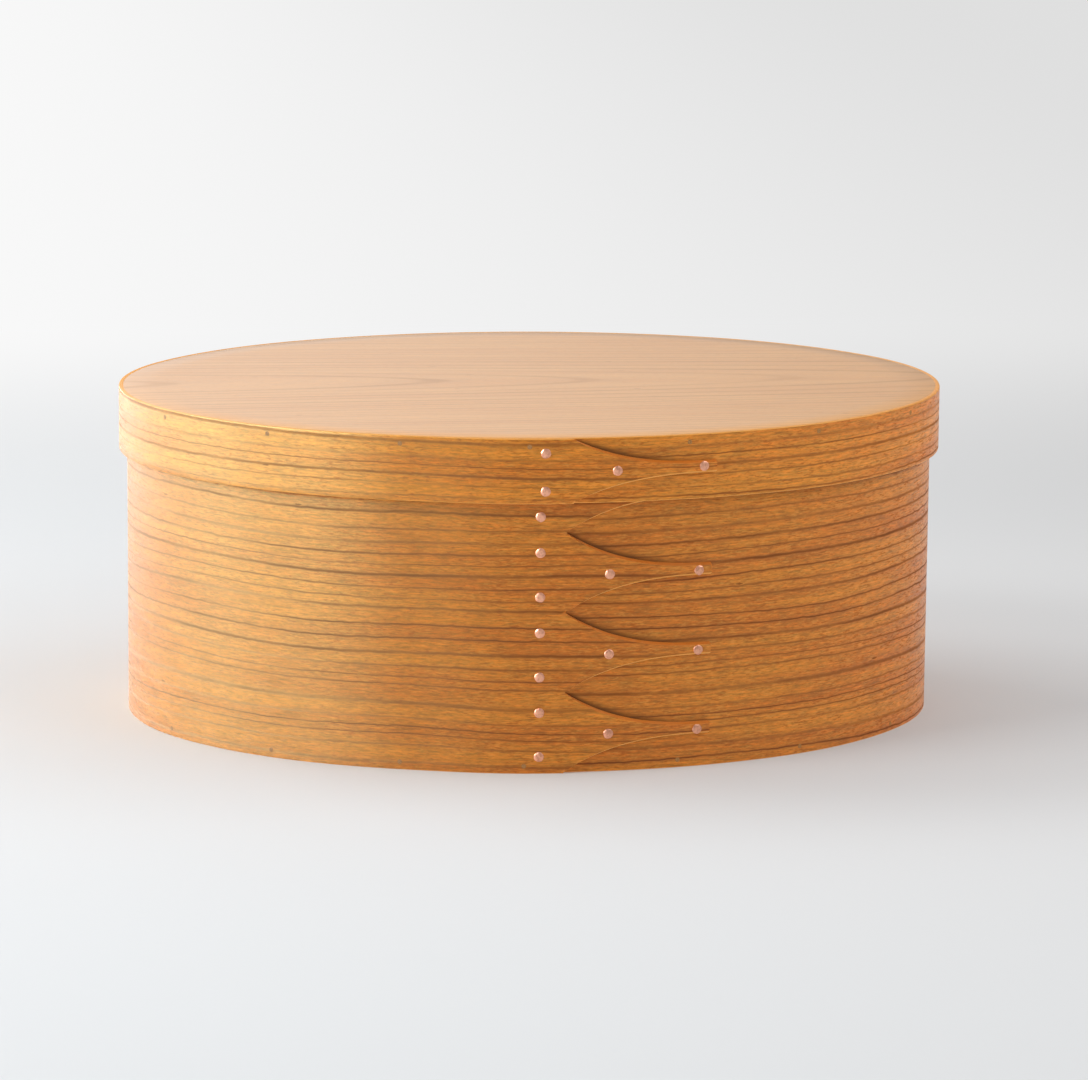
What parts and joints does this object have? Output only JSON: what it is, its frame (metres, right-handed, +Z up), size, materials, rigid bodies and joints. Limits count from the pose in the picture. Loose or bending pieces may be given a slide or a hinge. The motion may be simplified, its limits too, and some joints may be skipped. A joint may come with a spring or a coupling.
{
  "type": "cheese box",
  "caption": "Oval bentwood cheese box: lapped swallowtail-finger bands held by copper tacks, pegged boards and a lift-off lid.",
  "frame": {"origin": "on the surface that the box stands on, under the middle of the box band's oval", "axes": "+X along the length, towards the finger tips; +Y to the plain back; +Z up through the lid"},
  "size_m": [0.3432, 0.2682, 0.1365],
  "materials": {
    "band_wood": "satin varnished cherry, grain running round the bands",
    "board_wood": "satin varnished board, fine straight grain along the length",
    "peg_wood": "end grain, cut flush and varnished",
    "copper": "hammered copper, slightly dulled"
  },
  "bodies": {
    "box": {"box_band": "band_wood", "bottom_board": "board_wood", "bottom_pegs": "peg_wood", "box_finger_1_tacks": "copper", "box_finger_2_tacks": "copper", "box_finger_3_tacks": "copper", "box_finger_4_tacks": "copper"},
    "lid": {"lid_band": "band_wood", "lid_board": "board_wood", "lid_pegs": "peg_wood", "lid_tacks": "copper"}
  },
  "joints": [
    {"name": "lid_lift", "type": "slide", "parent": "box", "child": "lid", "axis": [0, 0, 1], "range_m": [0, 0.15]}
  ]
}
